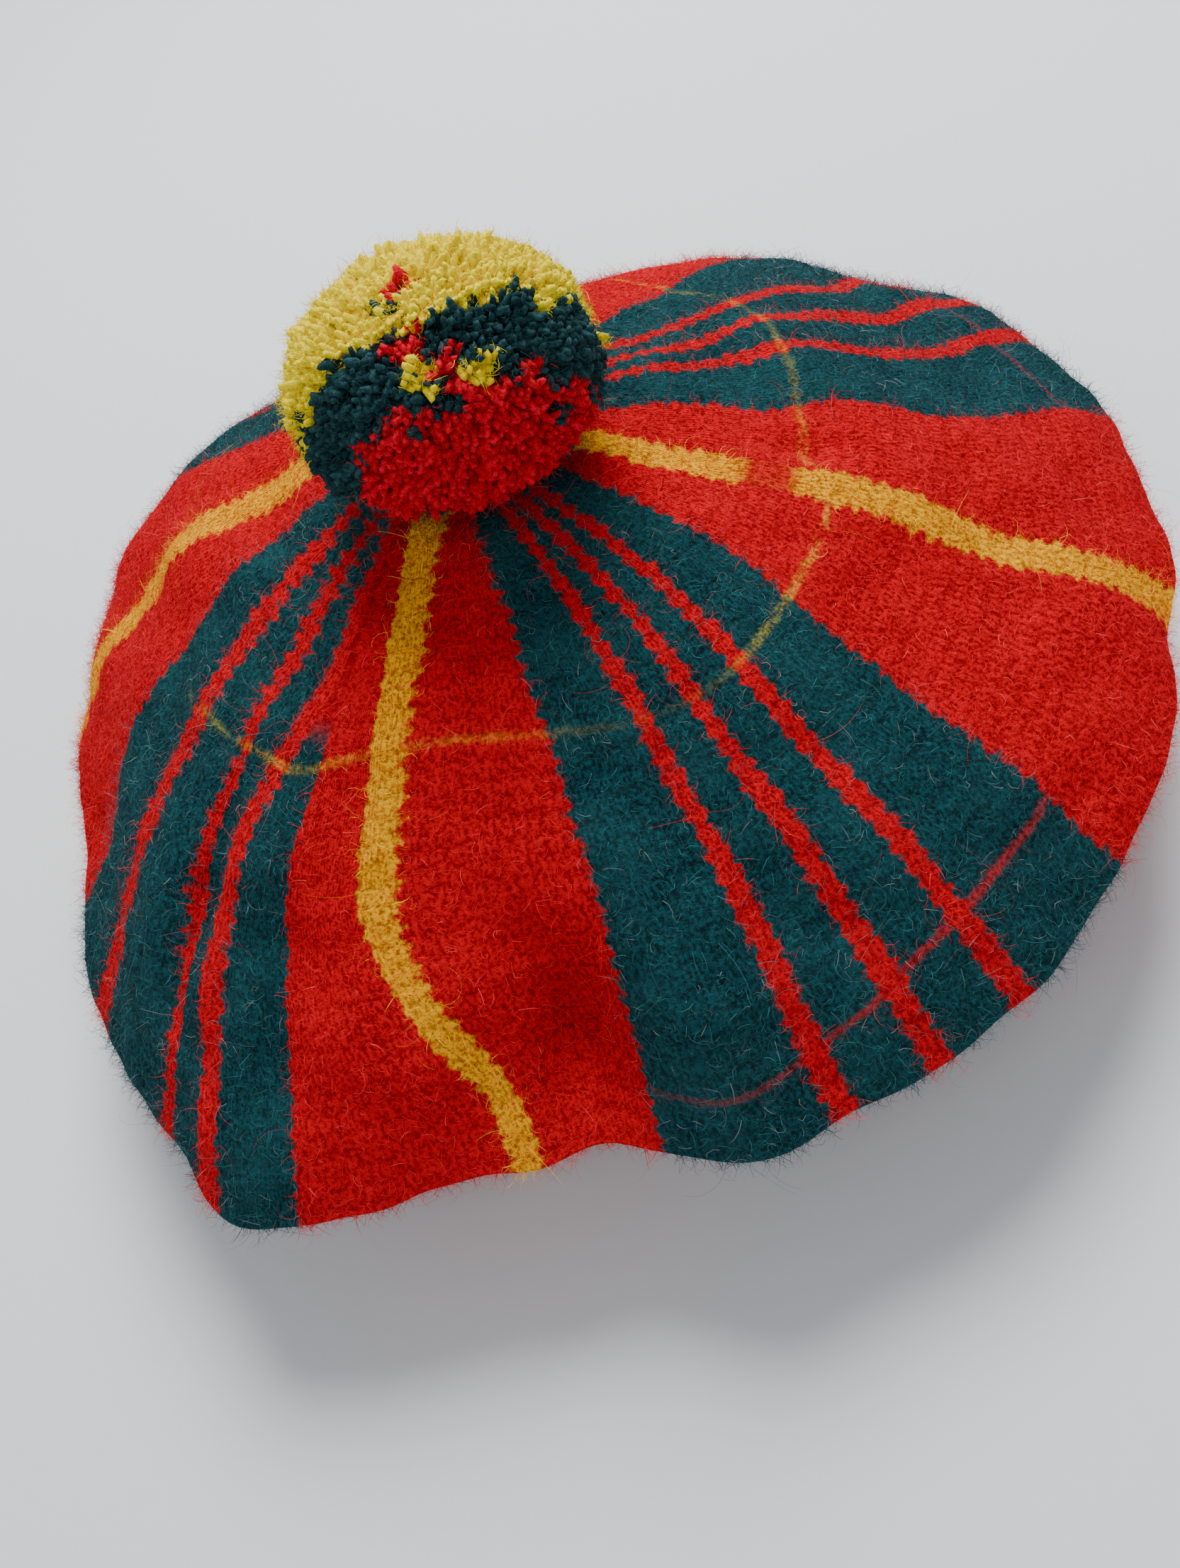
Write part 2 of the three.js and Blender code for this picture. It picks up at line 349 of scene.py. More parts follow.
def ring_distance(azimuth, turn):
    """Distances in mm along the cloth from the yellow ring and the red ring, above 0 outside them."""
    away = []
    for column in ("inner", "outer"):
        ring_turn = np.degrees(np.arcsin(around(RING_ROWS, column, azimuth)))
        away.append((turn - ring_turn) * MM_PER_DEGREE)
    return np.stack(np.broadcast_arrays(*away), -1)


def stripe_cover(azimuth, turn):
    """How far red covers other colours, 0 to 1. First number: the third yellow stripe just inside
    the ring. Second: the green beside the pinched group's last stripe, from the middle to the ring."""
    share = rim_share(turn)
    cover = GOLD_COVER
    near = np.exp(-(((np.mod(azimuth, 360) - cover["azimuth"]) / cover["spread"]) ** 4))
    gold = cover["strength"] * near * smooth_step(share, *cover["from"])
    gold = gold * (1 - smooth_step(share, *cover["to"]))
    place = stripe_place(azimuth, share)
    cover = GREEN_COVER
    green = smooth_step(place, *cover["from"]) * (1 - smooth_step(place, *cover["to"]))
    green = green * (1 - smooth_step(share, *cover["end"]))
    return np.stack(np.broadcast_arrays(gold, green), -1)


def ring_strength(azimuth, turn):
    """How strongly the yellow ring and the red ring show, 0 to 1, at each azimuth."""
    gold = np.clip(around(RING_ROWS, "gold", azimuth), 0, 1) + 0 * turn
    red = np.clip(around(RING_ROWS, "red", azimuth), 0, 1) + 0 * turn
    return np.stack([gold, red], -1)


def stripe_maps(azimuth, turn, place, row):
    """Every map that the stripes are worked out from, by name, two numbers at each point."""
    return {
        "knit": np.stack(np.broadcast_arrays(place, row), -1),
        "rings": ring_distance(azimuth, turn),
        "ring_strength": ring_strength(azimuth, turn),
        "cover": stripe_cover(azimuth, turn),
    }


print("ring table:", len(RING_ROWS), "rows")

# %% [markdown]
# ## Helpers that turn arrays into meshes
#
# A grid surface is the quickest way to make cloth: each ring of points joins the next with quads.
# The first and last rings close on single points, the poles, so the cloth is one closed skin. The
# maps are written per face corner, which lets the place run from 0 to 4 and meet itself at a seam
# without a smear.

# %% Mesh helpers
def mesh_object(name, points, faces, body="root"):
    """Makes a mesh object from an (n, 3) array and an (m, 3 or 4) array of faces."""
    mesh = bpy.data.meshes.new(name)
    faces = np.asarray(faces, np.int32)
    size = faces.shape[1]
    mesh.vertices.add(len(points))
    mesh.vertices.foreach_set("co", np.asarray(points, np.float32).ravel())
    mesh.loops.add(faces.size)
    mesh.loops.foreach_set("vertex_index", faces.ravel())
    mesh.polygons.add(len(faces))
    mesh.polygons.foreach_set("loop_start", np.arange(0, faces.size, size, dtype=np.int32))
    mesh.polygons.foreach_set("loop_total", np.full(len(faces), size, np.int32))
    mesh.update(calc_edges=True)
    mesh.polygons.foreach_set("use_smooth", np.ones(len(faces), bool))
    piece = bpy.data.objects.new(name, mesh)
    bpy.context.scene.collection.objects.link(piece)
    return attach(piece, body)


def write_map(piece, name, values):
    """Writes a map whose two numbers are given once per face corner."""
    layer = piece.data.uv_layers.new(name=name)
    layer.uv.foreach_set("vector", np.asarray(values, np.float32).ravel())


FLIPPED = [0, 3, 2, 1]


def ring_grid(rings, sides):
    """Quads between rings of points: ring k, side s goes to ring k + 1, side s + 1.
    Returns the faces and, for each corner, its ring and its side counted on past the seam."""
    k, s = np.meshgrid(np.arange(rings - 1), np.arange(sides), indexing="ij")
    corner_ring = np.stack([k, k + 1, k + 1, k], -1).reshape(-1, 4)
    corner_side = np.stack([s, s, s + 1, s + 1], -1).reshape(-1, 4)
    faces = corner_ring * sides + corner_side % sides
    return faces, corner_ring, corner_side


def pole_fans(rings, sides):
    """Triangles from the grid's first and last rings to the poles, the two points after the grid."""
    s = np.arange(sides)
    after = (s + 1) % sides
    last = (rings - 1) * sides
    pole = np.full(sides, rings * sides)
    return np.concatenate([np.stack([s, after, pole], -1), np.stack([last + after, last + s, pole + 1], -1)])


def close_poles(piece, fans):
    """Adds the triangles of the fans. Each takes the map values of the grid quad that it touches."""
    mesh = bmesh.new()
    mesh.from_mesh(piece.data)
    mesh.verts.ensure_lookup_table()
    for corners in fans.tolist():
        face = mesh.faces.new([mesh.verts[c] for c in corners])
        face.smooth = True
        first, second, pole = face.loops
        twin = first.link_loop_radial_next
        for layer in mesh.loops.layers.uv.values():
            first[layer].uv = twin.link_loop_next[layer].uv
            second[layer].uv = twin[layer].uv
            pole[layer].uv = (first[layer].uv + second[layer].uv) / 2
    mesh.to_mesh(piece.data)
    mesh.free()


def closed_piece(name, grid, poles, maps, flip=False):
    """A closed skin from a (rings, sides, 3) grid and its two poles. maps holds, by name, two numbers
    for each ring and side, with the first side repeated at the end. flip turns every face over."""
    rings, sides = grid.shape[:2]
    faces, ring, side = ring_grid(rings, sides)
    fans = pole_fans(rings, sides)
    if flip:
        faces, ring, side, fans = faces[:, FLIPPED], ring[:, FLIPPED], side[:, FLIPPED], fans[:, [1, 0, 2]]
    piece = mesh_object(name, np.concatenate([grid.reshape(-1, 3), poles]), faces)
    for map_name, values in maps.items():
        write_map(piece, map_name, values[ring, side])
    close_poles(piece, fans)
    return piece


def finish_piece(piece, material):
    piece.data.materials.append(material)
    triangles = sum(len(p.vertices) - 2 for p in piece.data.polygons)
    print(piece.name, triangles, "triangles")
    return piece


# %% [markdown]
# ## A short way to write materials
#
# Every finish here is a procedural node tree. This small class wires one: each call adds a node and
# gives back its output, so a finish reads like a formula.

# %% Material helper
class Finish:
    """One material's node tree. Inputs may be numbers, colours or outputs of other nodes."""

    def __init__(self, name):
        self.material = bpy.data.materials.new(name)
        self.material.use_nodes = True
        self.tree = self.material.node_tree
        self.shader = self.tree.nodes["Principled BSDF"]

    def feed(self, socket, value):
        if isinstance(value, bpy.types.NodeSocket):
            self.tree.links.new(value, socket)
        else:
            socket.default_value = value

    def node(self, kind, inputs=(), **settings):
        made = self.tree.nodes.new(kind)
        for name, value in settings.items():
            setattr(made, name, value)
        for name, value in dict(inputs).items():
            self.feed(made.inputs[name], value)
        return made

    def math(self, operation, *values):
        made = self.node("ShaderNodeMath", operation=operation)
        for socket, value in zip(made.inputs, values):
            self.feed(socket, value)
        return made.outputs[0]

    def times(self, first, second):
        return self.math("MULTIPLY", first, second)

    def minus(self, first, second):
        return self.math("SUBTRACT", first, second)

    def scaled(self, value, factor, offset):
        """value * factor + offset."""
        return self.math("MULTIPLY_ADD", value, factor, offset)

    def mix(self, share, first, second, blend="MIX"):
        made = self.node("ShaderNodeMix", data_type="RGBA", blend_type=blend)
        self.feed(made.inputs[0], share)
        self.feed(made.inputs[6], first)
        self.feed(made.inputs[7], second)
        return made.outputs[2]

    def step(self, value, low, high):
        """0 below low, 1 above high, smooth between."""
        made = self.node("ShaderNodeMapRange", interpolation_type="SMOOTHSTEP")
        self.feed(made.inputs[0], value)
        self.feed(made.inputs[1], low)
        self.feed(made.inputs[2], high)
        return made.outputs[0]

    def object_point(self):
        return self.node("ShaderNodeTexCoord").outputs["Object"]

    def map_values(self, name):
        """The two numbers of one of the piece's own maps."""
        read = self.node("ShaderNodeUVMap", uv_map=name).outputs[0]
        split = self.node("ShaderNodeSeparateXYZ", {"Vector": read})
        return split.outputs[0], split.outputs[1]

    def noise(self, point, size, detail=3.0, rough=0.5):
        """Smooth noise, 0 to 1, whose lumps are about size metres across."""
        made = self.node("ShaderNodeTexNoise", {"Vector": point, "Scale": 1 / size, "Detail": detail})
        made.inputs["Roughness"].default_value = rough
        return made.outputs[0]

    def bump(self, height, distance, strength=1.0, normal=None):
        made = self.node("ShaderNodeBump", {"Height": height, "Distance": distance})
        made.inputs["Strength"].default_value = strength
        if normal is not None:
            self.feed(made.inputs["Normal"], normal)
        return made.outputs[0]

    def set(self, **inputs):
        for name, value in inputs.items():
            self.feed(self.shader.inputs[name.replace("_", " ")], value)


RED = (0.65, 0.0, 0.010, 1)
RED_LIGHT = (0.85, 0.008, 0.02, 1)
GREEN = (0.006, 0.056, 0.068, 1)
GREEN_LIGHT = (0.035, 0.19, 0.20, 1)
YELLOW = (1.0, 0.42, 0.0, 1)
YELLOW_LIGHT = (1.0, 0.66, 0.03, 1)
print("colours: red, teal green, golden yellow")

# %% [markdown]
# ## The striped knitting
#
# The stripes are worked out from two maps: the place in the repeats with the row of knitting, and
# the distances from the two rings. A stitch is a small V, so an edge between two colours steps in
# and out once a row like the teeth of a saw. Loose fibres blur it further, which is done by adding
# fine noise to the distance before it is compared with the stripe's width.

# %% Stripe pattern
GROUP_HALF = 0.28
SIDE_STRIPE = 0.102
YELLOW_HALF_MM = 3.7
THIN_HALF_MM = 0.75
THIN_GROWTH = 0.0165
TOOTH_MM = 1.3
STITCHES_IN_REPEAT = 58.0


def striped_wool(finish, fuzz):
    """Adds the pattern to a finish. fuzz is how far, in mm, loose fibres blur an edge. A thin stripe's
    half width is 0.75 mm + 0.0165 * radius. Returns the colour, its lighter fibres and the green."""
    point = finish.object_point()
    place, row = finish.map_values("knit")
    inner_ring, outer_ring = finish.map_values("rings")
    gold_shown, red_shown = finish.map_values("ring_strength")
    gold_covered, green_covered = finish.map_values("cover")
    flat = finish.node("ShaderNodeVectorMath", {0: point, 1: (1, 1, 0)}, operation="MULTIPLY").outputs[0]
    radius = finish.node("ShaderNodeVectorMath", {0: flat}, operation="LENGTH").outputs["Value"]
    radius_mm = finish.times(radius, 1 / MM)
    repeat_mm = finish.times(radius_mm, 2 * math.pi / REPEATS)

    tooth = finish.math("PINGPONG", finish.times(row, 2.0), 1.0)
    ragged = finish.minus(finish.noise(point, 1.3 * MM, 2, 0.6), 0.5)
    wander = finish.minus(finish.noise(point, 9 * MM, 1), 0.5)
    shift = finish.scaled(tooth, TOOTH_MM, -TOOTH_MM / 2)
    shift = finish.scaled(ragged, 3.0 + fuzz, shift)
    shift = finish.scaled(wander, 2.2, shift)

    part = finish.math("FRACT", place)
    from_middle = finish.math("ABSOLUTE", finish.minus(part, 0.5))
    from_middle_mm = finish.times(from_middle, repeat_mm)
    edge_mm = finish.minus(finish.times(repeat_mm, GROUP_HALF), from_middle_mm)
    group = finish.step(finish.math("ADD", edge_mm, shift), -0.65, 0.65)

    thin_half = finish.scaled(radius_mm, THIN_GROWTH, THIN_HALF_MM)
    side_mm = finish.minus(from_middle_mm, finish.times(repeat_mm, SIDE_STRIPE))
    side_mm = finish.minus(thin_half, finish.math("ABSOLUTE", side_mm))
    centre_mm = finish.minus(thin_half, from_middle_mm)
    stripe_mm = finish.math("MAXIMUM", side_mm, centre_mm)
    thin = finish.step(finish.math("ADD", stripe_mm, shift), -0.6, 0.6)
    green = finish.times(group, finish.minus(1.0, thin))
    green = finish.times(green, finish.minus(1.0, green_covered))

    gold_mm = finish.minus(finish.times(repeat_mm, 0.5), from_middle_mm)
    gold_mm = finish.minus(YELLOW_HALF_MM, gold_mm)
    gold = finish.step(finish.math("ADD", gold_mm, shift), -0.6, 0.6)
    gold = finish.times(gold, finish.minus(1.0, gold_covered))

    cover = finish.noise(point, 5 * MM, 4, 0.7)
    ring_edge = finish.scaled(ragged, 2.0, finish.math("ABSOLUTE", inner_ring))
    ring = finish.times(finish.step(ring_edge, 1.1, 0.1), gold_shown)
    ring = finish.times(ring, finish.step(cover, 0.34, 0.56))
    ring = finish.times(ring, finish.scaled(green, -0.35, 0.95))
    rim_edge = finish.scaled(ragged, 2.0, finish.math("ABSOLUTE", outer_ring))
    rim_ring = finish.times(finish.step(rim_edge, 1.7, 0.3), red_shown)

    green = finish.times(green, finish.scaled(rim_ring, -0.75, 1.0))
    colour = finish.mix(green, RED, GREEN)
    light = finish.mix(green, RED_LIGHT, GREEN_LIGHT)
    ring_colour = finish.mix(green, (1.0, 0.26, 0.01, 1), (0.42, 0.42, 0.03, 1))
    colour = finish.mix(ring, colour, ring_colour)
    light = finish.mix(ring, light, (0.95, 0.5, 0.15, 1))
    colour = finish.mix(gold, colour, YELLOW)
    light = finish.mix(gold, light, YELLOW_LIGHT)
    return colour, light, green


def stitch_height(finish):
    """Height of the knitting, 0 to 1. A stitch is two slanting legs: across it each leg is
    1 - (4|a| - 1)^2 with a from -0.5 to 0.5, and along it the legs swell as cos(2 pi (row + 1.2|a|))."""
    point = finish.object_point()
    place, row = finish.map_values("knit")
    blur = finish.minus(finish.noise(point, 7 * MM, 2), 0.5)
    stitches = finish.scaled(blur, 0.9, finish.times(place, STITCHES_IN_REPEAT))
    a = finish.math("ABSOLUTE", finish.minus(finish.math("FRACT", stitches), 0.5))
    leg = finish.scaled(a, 4.0, -1.0)
    leg = finish.minus(1.0, finish.times(leg, leg))
    along = finish.scaled(a, 1.2, finish.scaled(blur, 0.7, row))
    swell = finish.math("COSINE", finish.times(along, 2 * math.pi))
    return finish.times(leg, finish.scaled(swell, 0.4, 0.6))


def crown_finish():
    """The cloth: stripes, painted shade in the pits between stitches, lighter brushed fibres, soft bump."""
    finish = Finish("fulled striped wool")
    point = finish.object_point()
    colour, light, _ = striped_wool(finish, 0.6)
    stitches = stitch_height(finish)
    grain = finish.noise(point, 0.9 * MM, 4, 0.7)
    matted = finish.noise(point, 5 * MM, 4, 0.6)
    # Painted shade: where the stitches and the fine grain are low, the colour is darkened, standing for
    # shade in the pits between stitches.
    clear_of_pit_shade = finish.step(finish.scaled(stitches, 0.12, grain), 0.40, 0.66)
    dark = finish.mix(1.0, colour, (0.34, 0.2, 0.2, 1), "MULTIPLY")
    colour = finish.mix(clear_of_pit_shade, dark, colour)
    tips = finish.times(finish.step(grain, 0.5, 0.74), finish.step(matted, 0.35, 0.7))
    clumps = finish.step(finish.noise(point, 11 * MM, 3), 0.3, 0.7)
    colour = finish.mix(finish.times(clumps, 0.12), colour, light)
    colour = finish.mix(finish.times(tips, 0.35), colour, light)
    height = finish.scaled(stitches, 0.16, finish.times(matted, 0.7))
    height = finish.scaled(grain, 0.8, height)
    finish.set(Base_Color=colour, Normal=finish.bump(height, 1.3 * MM, 0.85), Roughness=0.95)
    finish.set(Specular_IOR_Level=0.06)
    return finish.material


crown_wool = crown_finish()
print("finish:", crown_wool.name)

# %% [markdown]
# ## The crown
#
# The grid is closed: it starts at the middle of the top, goes out to the rim, in along the
# underside to the head opening, and back along the inner faces to the middle again. So the cloth
# has a real thickness at the opening, and the same stripes inside as outside.

# %% Crown piece
CROWN_SIDES = 380
TOP_RINGS = 120
UNDER_RINGS = 36
OUTER_RINGS = TOP_RINGS + UNDER_RINGS
FIRST_ARC = 1 * MM
AZIMUTHS = np.arange(CROWN_SIDES + 1) * 360.0 / CROWN_SIDES


def crown_rings():
    """The (turn, inset) of each ring, outside first and then back along the inside."""
    top = np.linspace(0, 90, TOP_RINGS + 1)[1:]
    under = 90 + 90 * np.linspace(0, 1, UNDER_RINGS + 1)[1:]
    inside = np.concatenate([under[::-3], top[::-5]])
    turns = np.concatenate([top, under, inside])
    return turns, np.concatenate([np.zeros(OUTER_RINGS), np.full(len(inside), WALL)])


def knitting_rows(turns, grid):
    """The row of knitting at each ring: the mean length of cloth out to it, over one row's height."""
    steps = np.linalg.norm(np.diff(grid[:OUTER_RINGS], axis=0), axis=-1).mean(1)
    arc = np.concatenate([[FIRST_ARC], FIRST_ARC + np.cumsum(steps)])
    return np.interp(turns, turns[:OUTER_RINGS], arc) / ROW


TURNS, INSETS = crown_rings()
CROWN_GRID = np.stack([crown_point(AZIMUTHS[:-1], t, i) for t, i in zip(TURNS, INSETS)])
ROWS = knitting_rows(TURNS, CROWN_GRID)
print("rows of knitting from the middle to the opening:", round(float(ROWS[OUTER_RINGS - 1])))


def crown_piece():
    turn = TURNS[:, None]
    place = stripe_place(AZIMUTHS[None], rim_share(turn))
    maps = stripe_maps(AZIMUTHS[None], turn, place, ROWS[:, None])
    poles = [[0, 0, CROWN_TOP], [0, 0, CROWN_TOP - WALL]]
    piece = closed_piece("knitted_crown", CROWN_GRID, poles, maps)
    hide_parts("crown")
    return finish_piece(piece, crown_wool)


crown_piece()

# %% [markdown]
# ## Fibres as ribbons
#
# Brushed wool is a tangle of thin hairs. Each hair here is a narrow ribbon of a few short lengths
# that ends in a point: its path starts at a root, runs off in one direction along the cloth, curls,
# and lifts away. Thousands are made at once as one array, and every corner of a hair carries the
# maps of its root, so the hair has the colour of the stitch it grew from.

# %% Fibre helpers
def two_across(directions, rng):
    """Two directions at right angles to each other and to the given one, turned at random."""
    first = unit(np.cross(directions, rng.normal(size=directions.shape)))
    return first, np.cross(directions, first)


def fibre_paths(roots, normals, length, rise, curl, segments, rng):
    """Paths of shape (fibres, segments + 1, 3). The heading turns evenly by curl radians along the
    fibre, and the height off the cloth is rise * sin(0.5 pi s)."""
    first, second = two_across(normals, rng)
    s = np.linspace(0, 1, segments + 1)[None]
    heading = curl[:, None] * s
    step = length[:, None] / segments
    x = np.cumsum(np.cos(heading) * step, axis=1) - step
    y = np.cumsum(np.sin(heading) * step, axis=1)
    lift = rise[:, None] * np.sin(0.5 * math.pi * s)
    path = roots[:, None] + x[..., None] * first[:, None] + y[..., None] * second[:, None]
    return path + lift[..., None] * normals[:, None]


def ribbon_arrays(paths, normals, width, rng):
    """Points and triangles of tapering ribbons: two points a step and one at the tip."""
    count, steps, _ = paths.shape
    along = np.gradient(paths, axis=1)
    twisted = normals + 0.8 * rng.normal(size=normals.shape)
    side = np.cross(along, twisted[:, None])
    side /= np.linalg.norm(side, axis=-1, keepdims=True) + 1e-12
    taper = np.linspace(1, 0.5, steps - 1)[None, :, None]
    half = 0.5 * width[:, None, None] * taper * side[:, :-1]
    pairs = np.stack([paths[:, :-1] - half, paths[:, :-1] + half], 2).reshape(count, -1, 3)
    points = np.concatenate([pairs, paths[:, -1:]], 1)
    k = np.arange(steps - 2)[:, None] * 2
    low = np.concatenate([k, k + 1, k + 3], 1)
    high = np.concatenate([k, k + 3, k + 2], 1)
    tip = np.array([[2 * steps - 4, 2 * steps - 3, 2 * steps - 2]])
    one = np.concatenate([low, high, tip])
    faces = one[None] + (np.arange(count) * points.shape[1])[:, None, None]
    return points.reshape(-1, 3), faces.reshape(-1, 3), len(one) * 3


def scatter_on_crown(count, rng, under_share, rim_extra):
    """Random (azimuth, turn) pairs, even over the top, under_share as dense underneath, and by the
    rim denser by rim_extra * exp(-((turn - 90) / 14)^2)."""
    turns = np.linspace(1, 176, 176)
    mid = crown_point(90.0, turns)
    radius = np.linalg.norm(mid[:, :2], axis=1)
    weight = radius * np.linalg.norm(np.gradient(mid, axis=0), axis=1)
    weight = weight * np.where(turns > 104, under_share, 1.0)
    weight = weight * (1 + rim_extra * np.exp(-(((turns - 90) / 14) ** 2)))
    chance = np.cumsum(weight) / weight.sum()
    turn = np.interp(rng.uniform(chance[0], 1, count), chance, turns)
    return rng.uniform(0, 360, count), turn


ROOT_SPREAD_MM = 0.45


def crown_fibres(name, count, seed, length, rise, curl, width, segments, under_share, rim_extra=0.0):
    """One piece of fibres rooted on the crown. length, rise and width are (low, high) in mm."""
    rng = np.random.default_rng(seed)
    azimuth, turn = scatter_on_crown(count, rng, under_share, rim_extra)
    roots, normals = crown_point(azimuth, turn), crown_normal(azimuth, turn)
    long = rng.uniform(*length, count) * MM
    lift = rise[0] + (rise[1] - rise[0]) * rng.uniform(0, 1, count) ** 1.8
    turning = rng.normal(0, curl, count)
    paths = fibre_paths(roots - normals * 0.1 * MM, normals, long, lift * MM, turning, segments, rng)
    wide = rng.uniform(*width, count) * MM
    points, faces, corners = ribbon_arrays(paths, normals, wide, rng)
    piece = mesh_object(name, points, faces)
    radius = np.linalg.norm(crown_point(azimuth, np.minimum(turn, 90.0))[:, :2], axis=1)
    girth = 2 * math.pi / REPEATS * radius / MM
    place = stripe_place(azimuth, rim_share(turn)) + rng.normal(0, ROOT_SPREAD_MM, count) / girth
    row = np.interp(turn, TURNS[:OUTER_RINGS], ROWS[:OUTER_RINGS])
    maps = stripe_maps(azimuth, turn, place, row)
    maps["shade"] = np.stack([rng.uniform(0, 1, count), rng.uniform(0, 1, count)], -1)
    for map_name, values in maps.items():
        write_map(piece, map_name, np.repeat(values, corners, axis=0))
    return finish_piece(piece, fibre_wool)


def fibre_finish():
    """The same stripes, with each hair darker or lighter, and strays, red on red and grey on green."""
    finish = Finish("brushed wool fibres")
    colour, light, green = striped_wool(finish, 1.6)
    shade, stray = finish.map_values("shade")
    dark = finish.mix(1.0, colour, (0.5, 0.4, 0.4, 1), "MULTIPLY")
    colour = finish.mix(finish.step(shade, 0.0, 0.5), dark, colour)
    colour = finish.mix(finish.step(shade, 0.45, 1.1), colour, light)
    grey = finish.mix(green, (0.95, 0.07, 0.06, 1), (0.24, 0.24, 0.24, 1))
    colour = finish.mix(finish.step(stray, 0.955, 0.965), colour, grey)
    finish.set(Base_Color=colour, Roughness=0.8, Specular_IOR_Level=0.2)
    return finish.material


# %% Brushed surface
fibre_wool = fibre_finish()
NAP_FIBRES = 36000
LOOSE_HAIRS = 5000
crown_fibres("nap_lying", NAP_FIBRES, 11, (2.0, 4.5), (0.2, 1.5), 2.2, (0.10, 0.16), 3, 0.3)
crown_fibres("nap_curled", NAP_FIBRES, 12, (1.8, 4.5), (0.7, 3.8), 3.0, (0.08, 0.12), 3, 0.2, 3.0)
crown_fibres("loose_hairs", LOOSE_HAIRS, 13, (5, 14), (0.8, 4.2), 4.2, (0.04, 0.07), 8, 0.2, 0.8)

# %% [markdown]
# ## The headband
#
# The opening is a ribbed band, knitted of the ground colour and doubled over, so it is thicker than
# the crown. Its section is a rounded slab, and its two faces rise and fall once per rib.

# %% Headband
RIBS = 110
RIB_HEIGHT = 0.45 * MM


def band_finish():
    finish = Finish("ribbed wool")
    point = finish.object_point()
    stitches, row = finish.map_values("knit")
    a = finish.math("ABSOLUTE", finish.minus(finish.math("FRACT", stitches), 0.5))
    along = finish.math("COSINE", finish.times(finish.math("ADD", row, a), 2 * math.pi))
    grain = finish.noise(point, 0.9 * MM, 4, 0.65)
    height = finish.scaled(along, 0.25, grain)
    shade = finish.mix(finish.step(grain, 0.3, 0.75), GREEN, GREEN_LIGHT)
    colour = finish.mix(0.35, GREEN, shade)
    finish.set(Base_Color=colour, Normal=finish.bump(height, 1.0 * MM, 0.8), Roughness=0.95)
    finish.set(Sheen_Weight=0.2, Sheen_Roughness=0.6, Specular_IOR_Level=0.12)
    return finish.material


def headband_piece():
    """Section: a superellipse |x|^4 + |y|^4 = 1 scaled to the band. Ribs: the two broad faces
    move by 0.45 mm * cos(RIBS * azimuth), and the outer face flares 1.5 mm to the top."""
    sides, steps = RIBS * 8, 28
    azimuth = np.arange(sides) * 2 * math.pi / sides
    turn = np.arange(steps) * 2 * math.pi / steps
    x = np.sign(np.cos(turn)) * np.abs(np.cos(turn)) ** 0.5
    y = np.sign(np.sin(turn)) * np.abs(np.sin(turn)) ** 0.5
    middle = BAND_INNER + BAND_THICK / 2
    low = CAD_LOW.z
    z = low + (BAND_TOP - low) * (0.5 + 0.5 * y)
    flare = BAND_FLARE * ((z - low) / (BAND_TOP - low)) ** 2
    rib = RIB_HEIGHT * np.cos(RIBS * azimuth)[None] * (x * np.sqrt(np.abs(1 - y**4)))[:, None]
    r = middle + (x * BAND_THICK * 0.45 + flare)[:, None] + rib
    zz = np.broadcast_to(z[:, None], r.shape)
    points = np.stack([r * np.cos(azimuth), r * np.sin(azimuth), zz], -1).reshape(-1, 3)
    faces, ring, side = (corners[:, FLIPPED] for corners in ring_grid(steps + 1, sides))
    piece = mesh_object("ribbed_headband", points, faces % (steps * sides))
    write_map(piece, "knit", np.stack([side * RIBS * 2.0 / sides, ring * 0.55], -1))
    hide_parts("headband")
    return finish_piece(piece, band_finish())


headband_piece()

# %% [markdown]
# ## The pompom's form and its layers
#
# A pompom is wound of three yarns, one after the other, then tied and cut, so each colour keeps to
# one side of it. The form is given as shares of its height and half width. Which colour an end has
# depends on how far it points along the winding's axis, plus a ragged edge and a few strays.

# %% Pompom form
POMPOM_R = 31 * MM
POMPOM_HEIGHT = 42.5 * MM
POMPOM_FOOT = np.array([3.5 * MM, -13 * MM, CROWN_TOP + 2 * MM])
POMPOM_LEAN = math.radians(-6)
POMPOM_ROWS = [
    {"up": 0.0, "out": 0.5},
    {"up": 0.1, "out": 0.82},
    {"up": 0.25, "out": 0.97},
    {"up": 0.45, "out": 1.0},
    {"up": 0.65, "out": 0.95},
    {"up": 0.82, "out": 0.78},
    {"up": 0.94, "out": 0.5},
    {"up": 1.0, "out": 0.0},
]
POMPOM_SIDES = [
    {"azimuth": 0, "share": 1.05},
    {"azimuth": 60, "share": 0.99},
    {"azimuth": 130, "share": 1.0},
    {"azimuth": 190, "share": 1.02},
    {"azimuth": 240, "share": 0.99},
    {"azimuth": 300, "share": 1.04},
]
POMPOM_MIDDLE = 0.45
LAYER_AXIS = np.array([0.05, -0.972, -0.23])
STRAY_ENDS = [
    {"azimuth": 245, "height": 86, "radius": 5, "yarn": 0},
    {"azimuth": 257, "height": 58, "radius": 6, "yarn": 0},
    {"azimuth": 221, "height": 74, "radius": 3, "yarn": 1},
    {"azimuth": 240, "height": 78, "radius": 3, "yarn": 1},
    {"azimuth": 264, "height": 45, "radius": 7, "yarn": 2},
    {"azimuth": 289, "height": 40, "radius": 6, "yarn": 2},
    {"azimuth": 275, "height": 45, "radius": 5, "yarn": 0},
    {"azimuth": 232, "height": 15, "radius": 5, "yarn": 0},
    {"azimuth": 307, "height": 2, "radius": 5, "yarn": 1},
]


def lean(points):
    """Turns points about the x axis through the foot by the pompom's lean."""
    c, s = math.cos(POMPOM_LEAN), math.sin(POMPOM_LEAN)
    turn = np.array([[1, 0, 0], [0, c, -s], [0, s, c]])
    return points @ turn.T + POMPOM_FOOT


